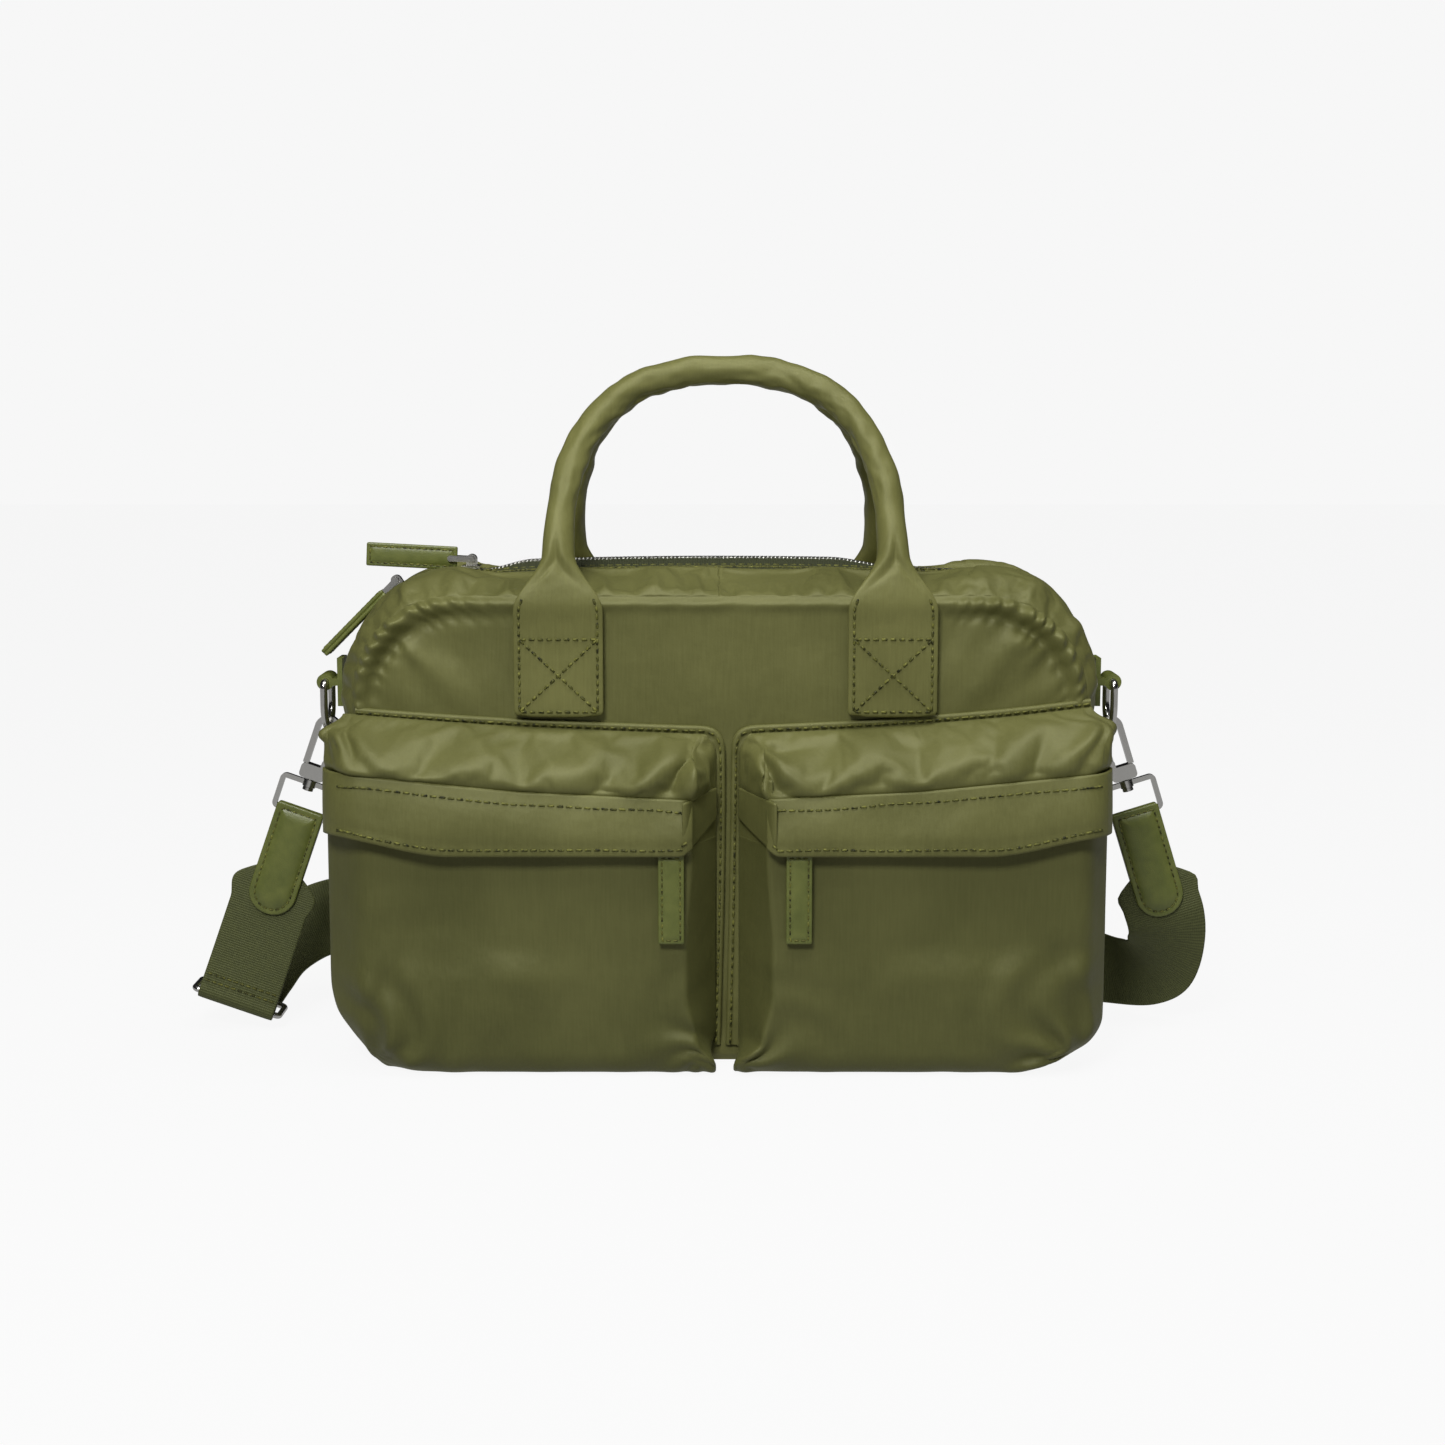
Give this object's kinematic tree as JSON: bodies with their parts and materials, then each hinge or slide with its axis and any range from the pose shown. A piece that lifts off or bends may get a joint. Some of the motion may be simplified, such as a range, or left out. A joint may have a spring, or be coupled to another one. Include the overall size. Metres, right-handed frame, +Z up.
{
  "type": "zip-top handbag with shoulder strap",
  "caption": "Soft zip-top bag with rolled handles, front cargo pockets under fly flaps, D-rings and a clip-on webbing strap.",
  "frame": {"origin": "middle of the base, on the surface that the bag stands on", "axes": "+X across the width, +Y from the pocket side to the back, +Z up"},
  "size_m": [0.495, 0.1744, 0.3257],
  "materials": {
    "olive_nylon": "satin nylon twill, olive",
    "lining_cloth": "plain thin lining",
    "base_board": "stiffener board",
    "handle_core": "foam rope",
    "zip_tape": "woven zip tape",
    "zip_coil": "silver coil",
    "green_leather": "smooth grained leather, semi-gloss",
    "webbing": "ribbed nylon webbing",
    "silver_metal": "polished nickel plate"
  },
  "bodies": {
    "bag": {"front_panel": "olive_nylon", "back_panel": "olive_nylon", "wrap_gusset": "olive_nylon", "upper_gusset_front": "olive_nylon", "upper_gusset_back": "olive_nylon", "seam_piping": "olive_nylon", "lining": "lining_cloth", "base_board": "base_board", "zip_tape_ends": "zip_tape", "zip_coil_ends": "zip_coil", "zip_end_stops": "silver_metal", "handle_tabs": "olive_nylon", "centre_seam_band": "olive_nylon", "pocket_left_front": "olive_nylon", "pocket_right_front": "olive_nylon", "pocket_left_top": "olive_nylon", "pocket_right_top": "olive_nylon", "pocket_left_zip": "zip_tape", "pocket_right_zip": "zip_tape", "d_ring_loops": "green_leather"},
    "mouth_front": {"mouth_panel_front": "olive_nylon", "zip_tape_front": "zip_tape", "zip_coil_front": "zip_coil"},
    "mouth_back": {"mouth_panel_back": "olive_nylon", "zip_tape_back": "zip_tape", "zip_coil_back": "zip_coil"},
    "main_slider_1": {"zip_slider_1": "silver_metal"},
    "main_pull_1": {"zip_link_1": "silver_metal", "zip_pull_1": "green_leather"},
    "main_slider_2": {"zip_slider_2": "silver_metal"},
    "main_link_2": {"zip_link_2": "silver_metal"},
    "main_pull_2": {"zip_pull_2": "green_leather"},
    "front_handle": {"handle_front": "olive_nylon", "handle_core_front": "handle_core"},
    "back_handle": {"handle_back": "olive_nylon", "handle_core_back": "handle_core"},
    "strap": {"swivel_loops": "silver_metal", "leather_tab_left": "green_leather", "leather_tab_right": "green_leather", "short_webbing": "webbing", "strap_ring": "silver_metal", "long_webbing": "webbing", "strap_slide": "silver_metal"},
    "flap_left": {"pocket_left_flap": "olive_nylon"},
    "slider_left": {"pocket_left_slider": "silver_metal"},
    "pull_left": {"pocket_left_link": "silver_metal", "pocket_left_pull": "green_leather"},
    "ring_left": {"d_ring_left": "silver_metal"},
    "snap_hook_left": {"hook_left": "silver_metal", "gate_rivet_left": "silver_metal"},
    "snap_gate_left": {"gate_left": "silver_metal"},
    "flap_right": {"pocket_right_flap": "olive_nylon"},
    "slider_right": {"pocket_right_slider": "silver_metal"},
    "pull_right": {"pocket_right_link": "silver_metal", "pocket_right_pull": "green_leather"},
    "ring_right": {"d_ring_right": "silver_metal"},
    "snap_hook_right": {"hook_right": "silver_metal", "gate_rivet_right": "silver_metal"},
    "snap_gate_right": {"gate_right": "silver_metal"}
  },
  "joints": [
    {"name": "mouth_front_opening", "type": "hinge", "parent": "bag", "child": "mouth_front", "pos_m": [0, -0.0485, 0.2156], "axis": [-1, 0, 0], "range_deg": [0, 70]},
    {"name": "mouth_back_opening", "type": "hinge", "parent": "bag", "child": "mouth_back", "pos_m": [0, 0.0485, 0.2156], "axis": [1, 0, 0], "range_deg": [0, 70]},
    {"name": "main_slider_1_travel", "type": "slide", "parent": "bag", "child": "main_slider_1", "axis": [1, 0, 0], "range_m": [0, 0.226]},
    {"name": "main_pull_1_swing", "type": "hinge", "parent": "main_slider_1", "child": "main_pull_1", "pos_m": [-0.1175, 0, 0.2306], "axis": [0, 1, 0], "range_deg": [0, 150]},
    {"name": "main_slider_2_round_corner", "type": "hinge", "parent": "bag", "child": "main_slider_2", "pos_m": [-0.12, 0, 0.169], "axis": [0, -1, 0], "range_deg": [0, 33]},
    {"name": "main_link_2_hang", "type": "hinge", "parent": "main_slider_2", "child": "main_link_2", "pos_m": [-0.15355, 0, 0.22066], "axis": [0, 1, 0], "range_deg": [0, 33]},
    {"name": "main_pull_2_swing", "type": "hinge", "parent": "main_link_2", "child": "main_pull_2", "pos_m": [-0.16062, 0, 0.21359], "axis": [0, 1, 0], "range_deg": [0, 38]},
    {"name": "front_handle_tilt", "type": "hinge", "parent": "bag", "child": "front_handle", "pos_m": [0, -0.057, 0.2142], "axis": [1, 0, 0], "range_deg": [-5, 110]},
    {"name": "back_handle_tilt", "type": "hinge", "parent": "bag", "child": "back_handle", "pos_m": [0, 0.057, 0.2142], "axis": [-1, 0, 0], "range_deg": [-5, 110]},
    {"name": "pocket_left_flap_lift", "type": "hinge", "parent": "bag", "child": "flap_left", "pos_m": [0, -0.0858, 0.129], "axis": [-1, 0, 0], "range_deg": [0, 100]},
    {"name": "pocket_left_slider_travel", "type": "slide", "parent": "bag", "child": "slider_left", "axis": [-1, 0, 0], "range_m": [0, 0.14]},
    {"name": "pocket_left_pull_swing", "type": "hinge", "parent": "slider_left", "child": "pull_left", "pos_m": [-0.0215, -0.082, 0.1125], "axis": [0, 1, 0], "range_deg": [-25, 60]},
    {"name": "d_ring_left_play", "type": "hinge", "parent": "bag", "child": "ring_left", "pos_m": [-0.1875, 0, 0.1726], "axis": [0, 1, 0], "range_deg": [-1, 1]},
    {"name": "pocket_right_flap_lift", "type": "hinge", "parent": "bag", "child": "flap_right", "pos_m": [0, -0.0858, 0.129], "axis": [-1, 0, 0], "range_deg": [0, 100]},
    {"name": "pocket_right_slider_travel", "type": "slide", "parent": "bag", "child": "slider_right", "axis": [1, 0, 0], "range_m": [0, 0.125]},
    {"name": "pocket_right_pull_swing", "type": "hinge", "parent": "slider_right", "child": "pull_right", "pos_m": [0.036, -0.082, 0.1125], "axis": [0, -1, 0], "range_deg": [-25, 60]},
    {"name": "d_ring_right_play", "type": "hinge", "parent": "bag", "child": "ring_right", "pos_m": [0.1875, 0, 0.1726], "axis": [0, 1, 0], "range_deg": [-1, 1]},
    {"name": "strap_swing", "type": "hinge", "parent": "bag", "child": "strap", "pos_m": [0, 0, 0.1616], "axis": [1, 0, 0], "range_deg": [0, 60]},
    {"name": "hook_left_swivel", "type": "hinge", "parent": "strap", "child": "snap_hook_left", "pos_m": [-0.19718, 0, 0.12306], "axis": [0.3338, 0, 0.9426], "range_deg": [-12, 12]},
    {"name": "gate_left_open", "type": "hinge", "parent": "snap_hook_left", "child": "snap_gate_left", "pos_m": [-0.18923, 0, 0.13234], "axis": [0, -1, 0], "range_deg": [0, 13], "stiffness_Nm_per_rad": 0.02, "springref_deg": -14.32},
    {"name": "hook_right_swivel", "type": "hinge", "parent": "strap", "child": "snap_hook_right", "pos_m": [0.19622, 0, 0.12274], "axis": [-0.3007, 0, 0.9537], "range_deg": [-12, 12]},
    {"name": "gate_right_open", "type": "hinge", "parent": "snap_hook_right", "child": "snap_gate_right", "pos_m": [0.1886, 0, 0.13229], "axis": [0, 1, 0], "range_deg": [0, 13], "stiffness_Nm_per_rad": 0.02, "springref_deg": -14.32}
  ],
  "couplings": [
    {"joint": "mouth_back_opening", "follows": "mouth_front_opening", "ratio": 1},
    {"joint": "main_link_2_hang", "follows": "main_slider_2_round_corner", "ratio": 1}
  ]
}
